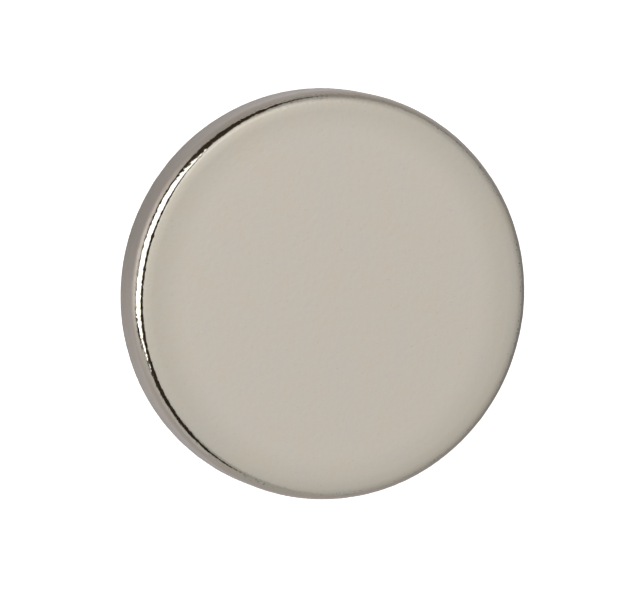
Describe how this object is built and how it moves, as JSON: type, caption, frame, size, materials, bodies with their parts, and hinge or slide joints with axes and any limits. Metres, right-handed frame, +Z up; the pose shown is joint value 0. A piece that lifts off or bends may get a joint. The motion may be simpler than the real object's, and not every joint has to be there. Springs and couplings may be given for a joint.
{
  "type": "disc magnet",
  "caption": "Flat round bench magnet with bright nickel plating and softly tumbled edges, lying on one pole face; holds steel parts or is set into a round pocket.",
  "frame": {"origin": "centre of the lower pole face, which rests on the surface below", "axes": "+Z up along the axis of revolution, from the lower pole face to the upper; X and Y are any two directions across the disc, which looks the same all round"},
  "size_m": [0.02, 0.02, 0.003],
  "materials": {
    "nickel_plating": "bright nickel plating over a lightly tumbled surface"
  },
  "bodies": {
    "root": {"disc_magnet": "nickel_plating"}
  },
  "joints": []
}
